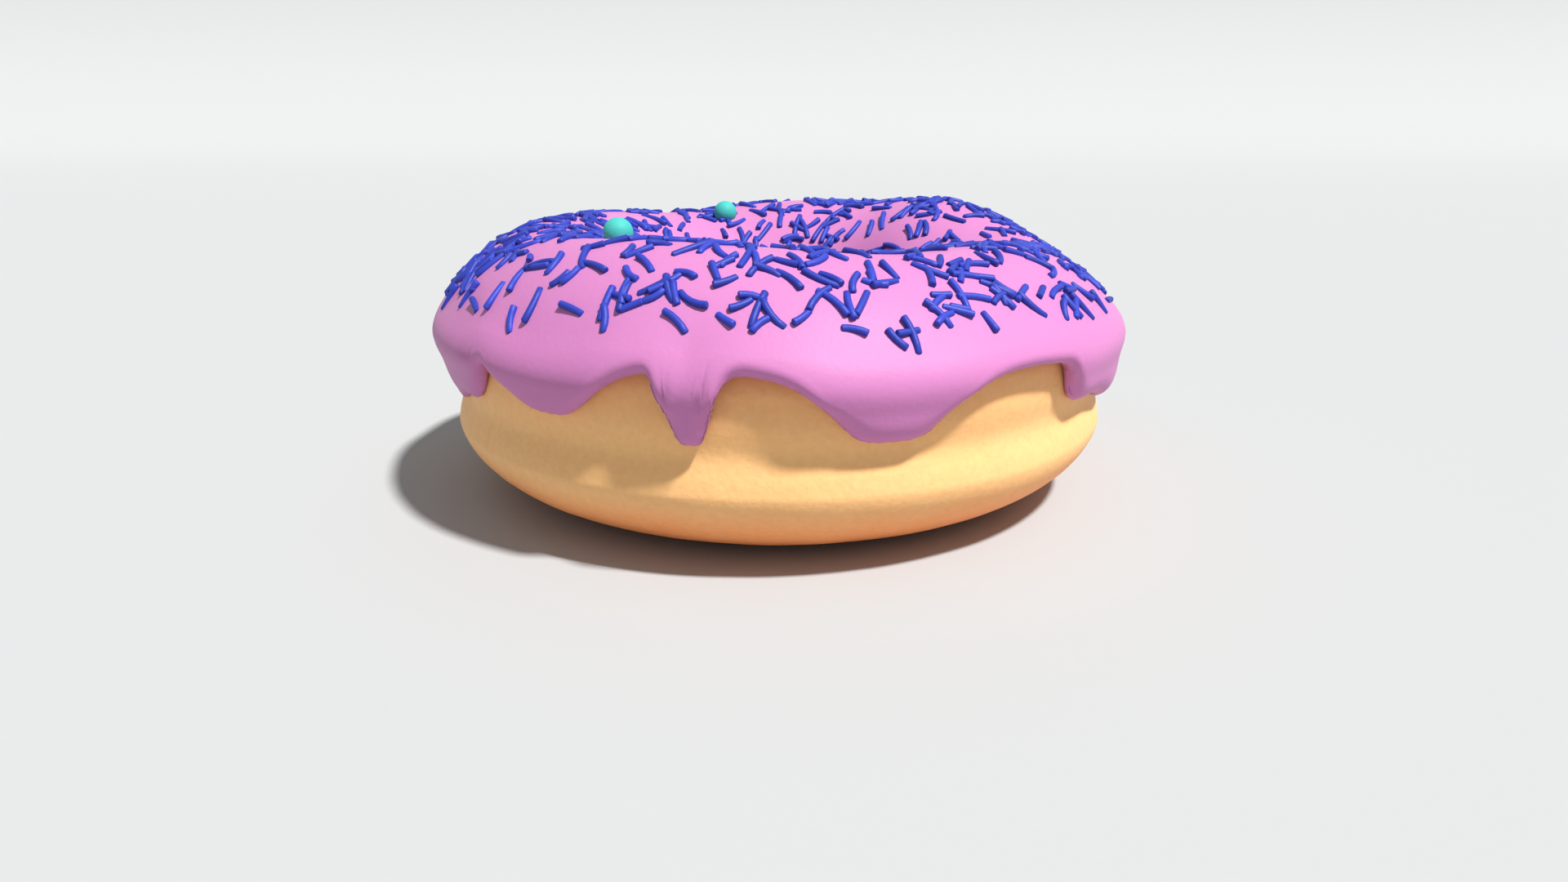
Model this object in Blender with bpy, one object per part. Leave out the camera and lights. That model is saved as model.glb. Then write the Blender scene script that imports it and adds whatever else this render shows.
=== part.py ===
"""Ring doughnut with poured pink icing, sugar sprinkles and two sugar pearls.

The dough is a ring with one section all the way round, which rests on a narrow flat band.
The icing is a skin of nearly even thickness over the top of the dough. It runs down the
outside and into the hole in drips, and its crest rises and falls in soft lumps. The sprinkles
and pearls are partly sunk in the icing and are one body with it.

Lengths are in metres and azimuths in degrees, anticlockwise from +X seen from above. A place
on the ring is its azimuth, its way along the dough's outline and its height over the dough.
"""

import math
import random

import bmesh
import bpy
import numpy as np
from mathutils import Matrix, Vector
from mathutils.bvhtree import BVHTree

# Section of the dough: flat base, low outer bulge, waist, shoulder, crest and hole
BASE_INNER_RADIUS = 0.0236
BASE_OUTER_RADIUS = 0.0282
BULGE_RADIUS = 0.0450
BULGE_HEIGHT = 0.0107
BULGE_POWER = 1.79
WAIST_DEPTH = 0.00075
WAIST_HEIGHT = 0.0148
WAIST_REACH = 0.0026
SHOULDER_RADIUS = 0.0446
SHOULDER_HEIGHT = 0.0217
SHOULDER_POWER = 1.55
CREST_RADIUS = 0.0321
CREST_HEIGHT = 0.0312
THROAT_RADIUS = 0.0150
THROAT_HEIGHT = 0.0150
ROUND_POWER = 2.0

# Soft lumps that lift the crest: azimuth, height and half width
LUMPS = (
    (-177, 0.00083, 15),
    (-113, 0.00362, 59),
    (-37, 0.00130, 20),
    (36, 0.00403, 24),
    (83, 0.00311, 30),
    (151, 0.00241, 32),
)
LUMPS_FROM = -0.00129
LIFT_STARTS_AT = 0.0210
LIFT_FULL_AT = 0.0336

# Icing: thickness, how it thins down the flank and leans to +X, how it swells at the
# shoulder and in a bead along the arches, clearance and drips
ICING_THICKNESS = 0.0021
FLANK_THINNING = 0.0012
FLANK_LEAN = 0.0005
FLANK_TOP = 0.0228
FLANK_FOOT = 0.0165
FLANK_SWELL = 0.0006
FLANK_SWELL_REACH = 0.0018
ARCH_BEAD = 0.0005
ARCH_BEAD_REACH = 0.0034
ARCH_BEAD_FROM = 0.0215
ARCH_BEAD_FULL_AT = 0.0240
CLEARANCE = 0.0003
ICING_ROOT = 0.0015
ARCH_HEIGHT = 0.0236
ARCH_SWAY = 0.0011
ARCH_HIGHEST_AT = -150
HOLE_ARCH_HEIGHT = 0.0172
DRIP_BLEND = 4

# Drips on the outside, then in the hole: azimuth, height of the tip, half width, squareness
OUTER_DRIPS = (
    (-160, 0.0157, 11.3, 1.9),
    (-153.5, 0.0167, 14.3, 3.6),
    (-124.6, 0.0183, 8.6, 1.9),
    (-101.8, 0.0166, 3.0, 2.0),
    (-74.5, 0.0169, 8.6, 1.9),
    (-24, 0.0171, 18.0, 9.0),
    (-19, 0.0153, 12.0, 1.9),
    (10, 0.0186, 6.0, 2.0),
    (29, 0.0168, 3.2, 2.0),
    (52, 0.0178, 9.0, 2.0),
    (79, 0.0188, 5.5, 2.0),
    (103, 0.0172, 10.0, 2.2),
    (127, 0.0168, 3.2, 2.0),
    (150, 0.0183, 7.5, 2.0),
    (173, 0.0178, 6.5, 2.2),
)
HOLE_DRIPS = (
    (-150, 0.0140, 20, 2.0),
    (-85, 0.0129, 14, 2.0),
    (-36, 0.0140, 17, 2.0),
    (17, 0.0126, 12, 2.0),
    (75, 0.0137, 22, 2.0),
    (140, 0.0130, 15, 2.0),
)

# Sprinkles: short bent sugar rods, strewn over the crest and down into the hole
SPRINKLE_RADIUS = 0.00055
SPRINKLE_SHORTEST = 0.0021
SPRINKLE_LONGEST = 0.0042
SPRINKLE_BEND = 0.45
SPRINKLE_TILT = 0.00022
SPRINKLE_RISE = -0.00015
SPRINKLES_STREWN = 880
SPRINKLES_MODELLED = 160
SPRINKLE_SPACING = 0.0042
SPRINKLE_SEED = 164
STREWN_FROM_HEIGHT = 0.0247
STREWN_FRINGE = 0.0030
STREWN_TO_RADIUS = 0.0172

# Sugar pearls: azimuth, radius and how far the middle of each stands over the icing
PEARL_DIAMETER = 0.00365
PEARLS = ((-132.7, 0.0291, 0.0008), (109.6, 0.0273, 0.00075))

# Fineness of the solids
DOUGH_COLUMNS = 56
DOUGH_STATIONS = 23
ICING_COLUMNS = 108
ICING_COLUMN_CROWDING = 1.4
ICING_LIP_STEPS = (0.0, 0.3, 1.1)
ICING_TOP_STATIONS = 8
ICING_TOP_MARGIN = 0.0006
OUTLINE_POINTS = 60
DRIP_LINE_POINTS = 1440
PEARL_SEGMENTS = 12
PEARL_RINGS = 8
WELD_DISTANCE = 0.00001
SHARP_ANGLE = math.radians(50)

# Finishes: base colour, roughness
DOUGH_FINISH = ((0.90, 0.62, 0.30), 0.6)
ICING_FINISH = ((0.86, 0.40, 0.72), 0.35)
SPRINKLE_FINISH = ((0.08, 0.12, 0.72), 0.5)
PEARL_FINISH = ((0.10, 0.80, 0.65), 0.3)


def quarter(centre, reach, power, start):
    """A quarter of a superellipse as points (r, z), anticlockwise from the start angle."""
    angles = np.radians(np.linspace(start, start + 90, OUTLINE_POINTS))
    across = np.cos(angles)
    upward = np.sin(angles)
    r = centre[0] + reach[0] * np.sign(across) * np.abs(across) ** (2 / power)
    z = centre[1] + reach[1] * np.sign(upward) * np.abs(upward) ** (2 / power)
    return np.stack([r, z], axis=1)


def waist():
    """The dough's nearly upright outside, from the bulge up to the shoulder."""
    z = np.linspace(BULGE_HEIGHT, SHOULDER_HEIGHT, OUTLINE_POINTS)
    straight = np.interp(z, (BULGE_HEIGHT, SHOULDER_HEIGHT), (BULGE_RADIUS, SHOULDER_RADIUS))
    hollow = WAIST_DEPTH * np.exp(-(((z - WAIST_HEIGHT) / WAIST_REACH) ** 2))
    return np.stack([straight - hollow, z], axis=1)


def dough_outline():
    """The dough's closed section, from the base's inner edge out, up, over and back."""
    base = np.array([(BASE_INNER_RADIUS, 0.0)])
    bulge = quarter(
        (BASE_OUTER_RADIUS, BULGE_HEIGHT),
        (BULGE_RADIUS - BASE_OUTER_RADIUS, BULGE_HEIGHT),
        BULGE_POWER,
        -90,
    )
    shoulder = quarter(
        (CREST_RADIUS, SHOULDER_HEIGHT),
        (SHOULDER_RADIUS - CREST_RADIUS, CREST_HEIGHT - SHOULDER_HEIGHT),
        SHOULDER_POWER,
        0,
    )
    funnel = quarter(
        (CREST_RADIUS, THROAT_HEIGHT),
        (CREST_RADIUS - THROAT_RADIUS, CREST_HEIGHT - THROAT_HEIGHT),
        ROUND_POWER,
        90,
    )
    foot = quarter(
        (BASE_INNER_RADIUS, THROAT_HEIGHT),
        (BASE_INNER_RADIUS - THROAT_RADIUS, THROAT_HEIGHT),
        ROUND_POWER,
        180,
    )
    return np.concatenate([base, bulge, waist()[1:], shoulder[1:], funnel[1:], foot[1:]])


OUTLINE = dough_outline()
OUTLINE_WAY = np.concatenate(
    [[0.0], np.cumsum(np.linalg.norm(np.diff(OUTLINE, axis=0), axis=1))]
)
OUTLINE_LENGTH = OUTLINE_WAY[-1]
CREST = int(np.argmax(OUTLINE[:, 1]))
OUTSIDE = slice(OUTLINE_POINTS, CREST + 1)
HOLE = slice(CREST, len(OUTLINE))
FUNNEL = slice(CREST, CREST + OUTLINE_POINTS)
NORMAL_STEP = 0.001


def on_outline(way):
    """Radius and height of the dough's outline at a way along it."""
    way = np.mod(way, OUTLINE_LENGTH)
    r = np.interp(way, OUTLINE_WAY, OUTLINE[:, 0])
    z = np.interp(way, OUTLINE_WAY, OUTLINE[:, 1])
    return r, z


def outer_way(height):
    """Way along the outline to a height on the outside."""
    return np.interp(height, OUTLINE[OUTSIDE, 1], OUTLINE_WAY[OUTSIDE])


def hole_way(height):
    """Way along the outline to a height in the hole."""
    return np.interp(-height, -OUTLINE[HOLE, 1], OUTLINE_WAY[HOLE])


def funnel_way(radius):
    """Way along the outline to a radius between the crest and the narrowest of the hole."""
    return np.interp(-radius, -OUTLINE[FUNNEL, 0], OUTLINE_WAY[FUNNEL])


def turn_between(azimuth, other):
    """Signed angle from one azimuth to another, at most half a turn."""
    return np.mod(azimuth - other + 180, 360) - 180


def lift(azimuth, z):
    """How far the lumps raise a point, from none at the flank to all at the crest."""
    height = LUMPS_FROM
    for centre, rise, half_width in LUMPS:
        height = height + rise * np.exp(-((turn_between(azimuth, centre) / half_width) ** 2))
    share = np.clip((z - LIFT_STARTS_AT) / (LIFT_FULL_AT - LIFT_STARTS_AT), 0, 1)
    return height * share * share * (3 - 2 * share)


def place(azimuth, way, height):
    """Point at an azimuth, a way along the dough's outline and a height over the dough."""
    r, z = on_outline(way)
    r_before, z_before = on_outline(way - NORMAL_STEP)
    r_after, z_after = on_outline(way + NORMAL_STEP)
    along = np.hypot(r_after - r_before, z_after - z_before)
    r = r + height * (z_after - z_before) / along
    z = z - height * (r_after - r_before) / along
    z = z + lift(azimuth, z)
    turn = np.radians(azimuth)
    return np.stack(np.broadcast_arrays(r * np.cos(turn), r * np.sin(turn), z), axis=-1)


def drip_line(azimuth, arch, drips):
    """Height of the icing's edge: drips that hang from a line of arches."""
    depth = 0.0
    for centre, tip, half_width, squareness in drips:
        off = np.abs(turn_between(azimuth, centre)) / half_width
        depth = depth + ((arch - tip) / (1 + off ** (2 * squareness))) ** DRIP_BLEND
    return arch - depth ** (1 / DRIP_BLEND)


def outer_edge(azimuth):
    """Way along the outline to the icing's edge on the outside."""
    sway = ARCH_SWAY * np.cos(np.radians(azimuth - ARCH_HIGHEST_AT))
    return outer_way(drip_line(azimuth, ARCH_HEIGHT + sway, OUTER_DRIPS))


def hole_edge(azimuth):
    """Way along the outline to the icing's edge in the hole."""
    return hole_way(drip_line(azimuth, HOLE_ARCH_HEIGHT, HOLE_DRIPS))


def icing_height(azimuth, way):
    """Thickness of the icing over a place, rounded off towards its edges."""
    line = np.linspace(-180, 180, DRIP_LINE_POINTS, endpoint=False)
    r, z = on_outline(way)
    nearest = np.full(np.shape(way), np.inf)
    for edge in (outer_edge(line), hole_edge(line)):
        aside = np.radians(turn_between(azimuth[..., None], line)) * r[..., None]
        off = np.hypot(aside, way[..., None] - edge)
        nearest = np.minimum(nearest, off.min(axis=-1))
    short = 1 - np.clip(nearest / ICING_THICKNESS, 0, 1)
    down = np.clip((FLANK_TOP - z) / (FLANK_TOP - FLANK_FOOT), 0, 1)
    leaning = FLANK_LEAN * np.cos(np.radians(azimuth)) - FLANK_THINNING
    swell = FLANK_SWELL * np.exp(-(((z - FLANK_TOP) / FLANK_SWELL_REACH) ** 2))
    arch = np.clip((z - ARCH_BEAD_FROM) / (ARCH_BEAD_FULL_AT - ARCH_BEAD_FROM), 0, 1)
    bead = ARCH_BEAD * arch * np.exp(-((nearest / ARCH_BEAD_REACH) ** 2))
    outside = way < OUTLINE_WAY[CREST]
    thickness = ICING_THICKNESS + outside * (down * leaning + swell + bead)
    return thickness * np.sqrt(1 - short * short)


def ring(name, azimuths, ways, heights):
    """A torus whose every point is put at its own azimuth, way and height."""
    bpy.ops.mesh.primitive_torus_add(
        major_segments=ways.shape[0],
        minor_segments=ways.shape[1],
        major_radius=CREST_RADIUS,
        minor_radius=CREST_RADIUS - THROAT_RADIUS,
    )
    piece = bpy.context.object
    piece.name = name
    piece.data.name = name
    points = place(azimuths[:, None], ways, heights)
    piece.data.vertices.foreach_set("co", points.reshape(-1))
    piece.data.update()
    return piece


def finish(name, look):
    """A material with one colour and roughness."""
    colour, roughness = look
    material = bpy.data.materials.new(name)
    material.use_nodes = True
    shader = material.node_tree.nodes["Principled BSDF"]
    shader.inputs["Base Color"].default_value = (*colour, 1)
    shader.inputs["Roughness"].default_value = roughness
    material.diffuse_color = (*colour, 1)
    return material


def put_in(collection, piece):
    """Move an object from its collections to the one given."""
    for old in list(piece.users_collection):
        old.objects.unlink(piece)
    collection.objects.link(piece)


def dough_ring(name, height):
    """The dough's surface, or one a height outside it. Two stations bound the flat base."""
    azimuths = np.linspace(-180, 180, DOUGH_COLUMNS, endpoint=False)
    base_width = BASE_OUTER_RADIUS - BASE_INNER_RADIUS
    stations = np.linspace(base_width, OUTLINE_LENGTH, DOUGH_STATIONS, endpoint=False)
    stations = np.concatenate([[0.0], stations])
    ways = np.broadcast_to(stations, (DOUGH_COLUMNS, len(stations)))
    return ring(name, azimuths, ways, height)


def icing_azimuths():
    """Azimuths at even steps along the drip line, so that they crowd at the drips."""
    line = np.linspace(-180, 180, DRIP_LINE_POINTS + 1)
    step_down = np.diff(outer_edge(line)) * ICING_COLUMN_CROWDING
    step_round = np.radians(np.diff(line)) * SHOULDER_RADIUS
    way = np.concatenate([[0.0], np.cumsum(np.hypot(step_down, step_round))])
    return np.interp(np.linspace(0, way[-1], ICING_COLUMNS, endpoint=False), way, line)


def icing_blank():
    """The icing as a solid that still fills the upper dough, with its rounded drip edges."""
    azimuths = icing_azimuths()
    outer = outer_edge(azimuths)[:, None]
    hole = hole_edge(azimuths)[:, None]
    lip = np.array(ICING_LIP_STEPS) * ICING_THICKNESS
    margin = lip[-1] + ICING_TOP_MARGIN
    top_start = outer_way(ARCH_HEIGHT + ARCH_SWAY) + margin
    top_stop = hole_way(HOLE_ARCH_HEIGHT) - margin
    top = np.linspace(top_start, top_stop, ICING_TOP_STATIONS)
    top = np.broadcast_to(top, (ICING_COLUMNS, ICING_TOP_STATIONS))
    flank = (outer + lip[-1] + top_start) / 2
    skin = np.concatenate([outer + lip, flank, top, hole - lip[::-1]], axis=1)
    across = np.broadcast_to(azimuths[:, None], skin.shape)
    heights = CLEARANCE + icing_height(across, skin)
    root = np.full_like(outer, -ICING_ROOT)
    ways = np.concatenate([outer, skin, hole], axis=1)
    return ring("icing", azimuths, ways, np.concatenate([root, heights, root], axis=1))


def strewn_sprinkles():
    """Every sprinkle as (length, azimuth, way, heading, bend, tilt), the longest first."""
    chance = random.Random(SPRINKLE_SEED)
    start = outer_way(STREWN_FROM_HEIGHT)
    stop = funnel_way(STREWN_TO_RADIUS)
    sprinkles = []
    while len(sprinkles) < SPRINKLES_STREWN:
        azimuth = chance.uniform(-180, 180)
        way = chance.uniform(start, stop)
        r, _ = on_outline(way)
        if chance.random() * SHOULDER_RADIUS > r:
            continue
        if chance.random() * STREWN_FRINGE > way - start:
            continue
        length = chance.uniform(SPRINKLE_SHORTEST, SPRINKLE_LONGEST)
        heading = chance.uniform(0, 2 * math.pi)
        bend = chance.uniform(-SPRINKLE_BEND, SPRINKLE_BEND)
        tilt = chance.uniform(-SPRINKLE_TILT, SPRINKLE_TILT)
        sprinkles.append((length, azimuth, way, heading, bend, tilt))
    return sorted(sprinkles, reverse=True)


def spread_sprinkles():
    """The longest sprinkles that stand clear of each other and of the pearls."""
    kept = []
    taken = [Vector(pearl_point(*pearl)) for pearl in PEARLS]
    for sprinkle in strewn_sprinkles():
        spot = Vector(place(sprinkle[1], sprinkle[2], ICING_THICKNESS))
        if all((spot - other).length > SPRINKLE_SPACING for other in taken):
            kept.append(sprinkle)
            taken.append(spot)
        if len(kept) == SPRINKLES_MODELLED:
            break
    return kept


def sprinkle_rod(number, sprinkle, surface, material):
    """A bent rod with flat ends, about half sunk in the icing and upright to its faces."""
    length, azimuth, way, heading, bend, tilt = sprinkle
    r, _ = on_outline(way)
    axis = []
    for share in (-1, 0, 1):
        along = share * length / 2
        aside = bend * along * share / 2
        east = along * math.cos(heading) - aside * math.sin(heading)
        inward = along * math.sin(heading) + aside * math.cos(heading)
        turned = azimuth + math.degrees(east / r)
        over = Vector(place(turned, way + inward, CLEARANCE + ICING_THICKNESS))
        spot, normal, _, _ = surface.find_nearest(over)
        axis.append(spot + normal * (SPRINKLE_RISE + share * tilt))
        if share == 0:
            upright = normal
    forward = (axis[-1] - axis[0]).normalized()
    sideways = upright.cross(forward).normalized()
    frame = Matrix((forward, sideways, forward.cross(sideways))).transposed().to_4x4()
    frame.translation = axis[1]
    to_local = frame.inverted()

    curve = bpy.data.curves.new(f"sprinkle_{number:03d}", "CURVE")
    curve.dimensions = "3D"
    curve.twist_mode = "Z_UP"
    curve.bevel_depth = SPRINKLE_RADIUS
    curve.bevel_resolution = 0
    curve.use_fill_caps = True
    spline = curve.splines.new("POLY")
    spline.points.add(len(axis) - 1)
    for point, spot in zip(spline.points, axis):
        point.co = (*(to_local @ spot), 1)
    rod = bpy.data.objects.new(curve.name, curve)
    bpy.context.scene.collection.objects.link(rod)
    scene_state = bpy.context.evaluated_depsgraph_get()
    mesh = bpy.data.meshes.new_from_object(rod.evaluated_get(scene_state))
    bpy.data.objects.remove(rod)
    bpy.data.curves.remove(curve)
    shell = bmesh.new()
    shell.from_mesh(mesh)
    bmesh.ops.remove_doubles(shell, verts=shell.verts, dist=WELD_DISTANCE)
    bmesh.ops.recalc_face_normals(shell, faces=shell.faces)
    shell.to_mesh(mesh)
    shell.free()
    mesh.materials.clear()
    mesh.materials.append(material)
    rod = bpy.data.objects.new(mesh.name, mesh)
    rod.matrix_world = frame
    return rod


def pearl_point(azimuth, radius, over):
    """Middle of a pearl, which lies between the crest and the hole."""
    return place(azimuth, funnel_way(radius), CLEARANCE + ICING_THICKNESS + over)


def pearl_ball(pearl, material):
    """A round sugar pearl, part of it in the icing."""
    bpy.ops.mesh.primitive_uv_sphere_add(
        segments=PEARL_SEGMENTS,
        ring_count=PEARL_RINGS,
        radius=PEARL_DIAMETER / 2,
        location=pearl_point(*pearl),
    )
    ball = bpy.context.object
    ball.data.materials.append(material)
    return ball


def apply_modifiers(piece):
    """Replace an object's mesh with the one that its modifiers give."""
    scene_state = bpy.context.evaluated_depsgraph_get()
    result = bpy.data.meshes.new_from_object(piece.evaluated_get(scene_state))
    piece.modifiers.clear()
    piece.data = result


def keep_largest_shell(mesh):
    """Drop loose scraps, and fill sealed hollows, by deleting all but the largest shell."""
    body = bmesh.new()
    body.from_mesh(mesh)
    unseen = set(body.faces)
    shells = []
    while unseen:
        front = [unseen.pop()]
        shell = list(front)
        while front:
            face = front.pop()
            beside = {other for edge in face.edges for other in edge.link_faces} & unseen
            unseen -= beside
            front.extend(beside)
            shell.extend(beside)
        shells.append(shell)
    shells.sort(key=len)
    for shell in shells[:-1]:
        bmesh.ops.delete(body, geom=shell, context="FACES")
    body.to_mesh(mesh)
    body.free()


def smooth(mesh):
    """Shade a mesh smooth, apart from its sharp edges."""
    mesh.shade_smooth()
    mesh.set_sharp_from_angle(angle=SHARP_ANGLE)


def build():
    """Model the doughnut."""
    for old in list(bpy.data.objects):
        bpy.data.objects.remove(old)
    doughnut = bpy.data.collections.new("doughnut")
    cutters = bpy.data.collections.new("cutters")
    toppings = bpy.data.collections.new("toppings")
    for collection in (doughnut, cutters, toppings):
        bpy.context.scene.collection.children.link(collection)

    dough = dough_ring("dough", 0.0)
    dough.data.materials.append(finish("dough", DOUGH_FINISH))
    smooth(dough.data)
    put_in(doughnut, dough)

    icing = icing_blank()
    icing_sugar = finish("icing", ICING_FINISH)
    icing.data.materials.append(icing_sugar)
    put_in(doughnut, icing)

    faces = bmesh.new()
    faces.from_mesh(icing.data)
    surface = BVHTree.FromBMesh(faces)
    faces.free()
    sprinkle_sugar = finish("sprinkles", SPRINKLE_FINISH)
    for number, sprinkle in enumerate(spread_sprinkles()):
        toppings.objects.link(sprinkle_rod(number, sprinkle, surface, sprinkle_sugar))
    pearl_sugar = finish("pearls", PEARL_FINISH)
    for pearl in PEARLS:
        put_in(toppings, pearl_ball(pearl, pearl_sugar))

    bed = dough_ring("dough_bed", CLEARANCE)
    bed.data.materials.append(icing_sugar)
    bed.hide_render = True
    bed.display_type = "WIRE"
    put_in(cutters, bed)
    joint = icing.modifiers.new("toppings", "BOOLEAN")
    joint.operation = "UNION"
    joint.solver = "MANIFOLD"
    joint.operand_type = "COLLECTION"
    joint.collection = toppings
    joint.material_mode = "TRANSFER"
    hollow = icing.modifiers.new("dough_bed", "BOOLEAN")
    hollow.operation = "DIFFERENCE"
    hollow.solver = "MANIFOLD"
    hollow.object = bed
    apply_modifiers(icing)
    for topping in list(toppings.objects):
        bpy.data.objects.remove(topping)
    bpy.data.collections.remove(toppings)
    keep_largest_shell(icing.data)
    smooth(icing.data)


build()
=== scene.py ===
"""Looks of a ring doughnut with poured pink icing, sugar sprinkles and two sugar pearls.

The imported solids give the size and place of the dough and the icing. This script gives them
their fine surfaces, and makes the sprinkles and pearls that lie in the icing.

Lengths are in metres and azimuths in degrees, anticlockwise from +X seen from above. A place
on the ring is its azimuth, its way along the dough's outline and its height over the dough.
"""

import math
import random

import bmesh
import bpy
import numpy as np
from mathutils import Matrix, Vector
from mathutils.bvhtree import BVHTree


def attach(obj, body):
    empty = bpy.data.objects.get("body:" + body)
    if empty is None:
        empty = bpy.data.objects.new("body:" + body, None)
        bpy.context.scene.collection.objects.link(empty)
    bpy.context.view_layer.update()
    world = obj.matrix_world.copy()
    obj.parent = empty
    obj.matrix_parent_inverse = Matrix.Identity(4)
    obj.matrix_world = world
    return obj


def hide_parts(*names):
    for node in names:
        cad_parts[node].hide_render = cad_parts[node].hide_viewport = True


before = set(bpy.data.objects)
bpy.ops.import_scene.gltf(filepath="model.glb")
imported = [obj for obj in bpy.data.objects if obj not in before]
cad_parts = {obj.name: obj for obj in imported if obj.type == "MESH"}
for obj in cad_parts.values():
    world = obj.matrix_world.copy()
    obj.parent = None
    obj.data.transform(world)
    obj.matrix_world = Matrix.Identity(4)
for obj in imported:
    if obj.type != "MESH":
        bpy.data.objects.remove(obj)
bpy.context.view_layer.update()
scene = bpy.context.scene


# Camera: a hand's length in front of the doughnut and a little above it, looking down on
# its near side.
CAMERA_PLACE = (0.00067, -0.15127, 0.05058)
CAMERA_DOWN = math.radians(17.436)
CAMERA_SENSOR = 36
CAMERA_LENS = 24.444
CAMERA_NEAREST = 0.005

camera = bpy.data.objects.new("camera", bpy.data.cameras.new("camera"))
camera.location = CAMERA_PLACE
camera.rotation_euler = (math.pi / 2 - CAMERA_DOWN, 0, 0)
camera.data.sensor_width = CAMERA_SENSOR
camera.data.lens = CAMERA_LENS
camera.data.clip_start = CAMERA_NEAREST
scene.collection.objects.link(camera)
scene.camera = camera


# Dough: one ring of yeast dough, proved and fried. It floated in the oil on each side in
# turn, so its waist stayed pale, and it browned towards the side that it now stands on.
BASE_INNER_RADIUS = 0.0236
BASE_OUTER_RADIUS = 0.0282
BULGE_RADIUS = 0.0450
BULGE_HEIGHT = 0.0107
BULGE_POWER = 1.79
WAIST_DEPTH = 0.00075
WAIST_HEIGHT = 0.0148
WAIST_REACH = 0.0026
SHOULDER_RADIUS = 0.0446
SHOULDER_HEIGHT = 0.0217
SHOULDER_POWER = 1.55
CREST_RADIUS = 0.0321
CREST_HEIGHT = 0.0312
THROAT_RADIUS = 0.0150
THROAT_HEIGHT = 0.0150
ROUND_POWER = 2.0
OUTLINE_POINTS = 60
NORMAL_STEP = 0.001

# Soft lumps that lift the crest: azimuth, height and half width
LUMPS = (
    (-177, 0.00083, 15),
    (-113, 0.00362, 59),
    (-37, 0.00130, 20),
    (36, 0.00403, 24),
    (83, 0.00311, 30),
    (151, 0.00241, 32),
)
LUMPS_FROM = -0.00129
LIFT_STARTS_AT = 0.0210
LIFT_FULL_AT = 0.0336

# Columns round the ring, and stations on the bare outside, under the icing and in the hole
DOUGH_COLUMNS = 420
DOUGH_BARE_TO = 0.0262
DOUGH_BARE_IN_HOLE = 0.0185
DOUGH_STATIONS = (112, 22, 48)

# Crust: its roughness and sheen, the glow of its crumb, and the sizes of what varies it
DOUGH_ROUGHNESS = 0.62
DOUGH_SHEEN = 0.25
DOUGH_GLOW = 0.15
DOUGH_GLOW_SPREAD = (1.0, 0.55, 0.3)
DOUGH_GLOW_DEPTH = 0.0012
BROWNING_SIZE = 0.011
BROWNING_WANDER = 0.0022
MOTTLE_SIZE = 0.0009
MOTTLE = ((0.30, (0.95, 0.93, 0.90)), (0.65, (1.0, 1.0, 1.0)))
PORE_SIZE = 0.0007
PORE_DEPTH = 0.00006

# Height on the dough, and its colour there
DOUGH_COLOURS = (
    (0.0000, (0.76, 0.26, 0.085)),
    (0.0030, (0.91, 0.30, 0.100)),
    (0.0062, (0.94, 0.39, 0.146)),
    (0.0095, (0.93, 0.52, 0.220)),
    (0.0150, (0.93, 0.53, 0.220)),
    (0.0240, (0.88, 0.44, 0.180)),
)


def quarter(centre, reach, power, start):
    """A quarter of a superellipse as points (r, z), anticlockwise from the start angle."""
    angles = np.radians(np.linspace(start, start + 90, OUTLINE_POINTS))
    across = np.cos(angles)
    upward = np.sin(angles)
    r = centre[0] + reach[0] * np.sign(across) * np.abs(across) ** (2 / power)
    z = centre[1] + reach[1] * np.sign(upward) * np.abs(upward) ** (2 / power)
    return np.stack([r, z], axis=1)


def waist():
    """The dough's nearly upright outside, from the bulge up to the shoulder."""
    z = np.linspace(BULGE_HEIGHT, SHOULDER_HEIGHT, OUTLINE_POINTS)
    straight = np.interp(z, (BULGE_HEIGHT, SHOULDER_HEIGHT), (BULGE_RADIUS, SHOULDER_RADIUS))
    hollow = WAIST_DEPTH * np.exp(-(((z - WAIST_HEIGHT) / WAIST_REACH) ** 2))
    return np.stack([straight - hollow, z], axis=1)


def dough_outline():
    """The dough's closed section, from the base's inner edge out, up, over and back."""
    base = np.array([(BASE_INNER_RADIUS, 0.0)])
    bulge = quarter(
        (BASE_OUTER_RADIUS, BULGE_HEIGHT),
        (BULGE_RADIUS - BASE_OUTER_RADIUS, BULGE_HEIGHT),
        BULGE_POWER,
        -90,
    )
    shoulder = quarter(
        (CREST_RADIUS, SHOULDER_HEIGHT),
        (SHOULDER_RADIUS - CREST_RADIUS, CREST_HEIGHT - SHOULDER_HEIGHT),
        SHOULDER_POWER,
        0,
    )
    funnel = quarter(
        (CREST_RADIUS, THROAT_HEIGHT),
        (CREST_RADIUS - THROAT_RADIUS, CREST_HEIGHT - THROAT_HEIGHT),
        ROUND_POWER,
        90,
    )
    foot = quarter(
        (BASE_INNER_RADIUS, THROAT_HEIGHT),
        (BASE_INNER_RADIUS - THROAT_RADIUS, THROAT_HEIGHT),
        ROUND_POWER,
        180,
    )
    return np.concatenate([base, bulge, waist()[1:], shoulder[1:], funnel[1:], foot[1:]])


OUTLINE = dough_outline()
OUTLINE_WAY = np.concatenate(
    [[0.0], np.cumsum(np.linalg.norm(np.diff(OUTLINE, axis=0), axis=1))]
)
OUTLINE_LENGTH = OUTLINE_WAY[-1]
CREST = int(np.argmax(OUTLINE[:, 1]))
OUTSIDE = slice(OUTLINE_POINTS, CREST + 1)
HOLE = slice(CREST, len(OUTLINE))
FUNNEL = slice(CREST, CREST + OUTLINE_POINTS)


def on_outline(way):
    """Radius and height of the dough's outline at a way along it."""
    way = np.mod(way, OUTLINE_LENGTH)
    r = np.interp(way, OUTLINE_WAY, OUTLINE[:, 0])
    z = np.interp(way, OUTLINE_WAY, OUTLINE[:, 1])
    return r, z


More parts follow.
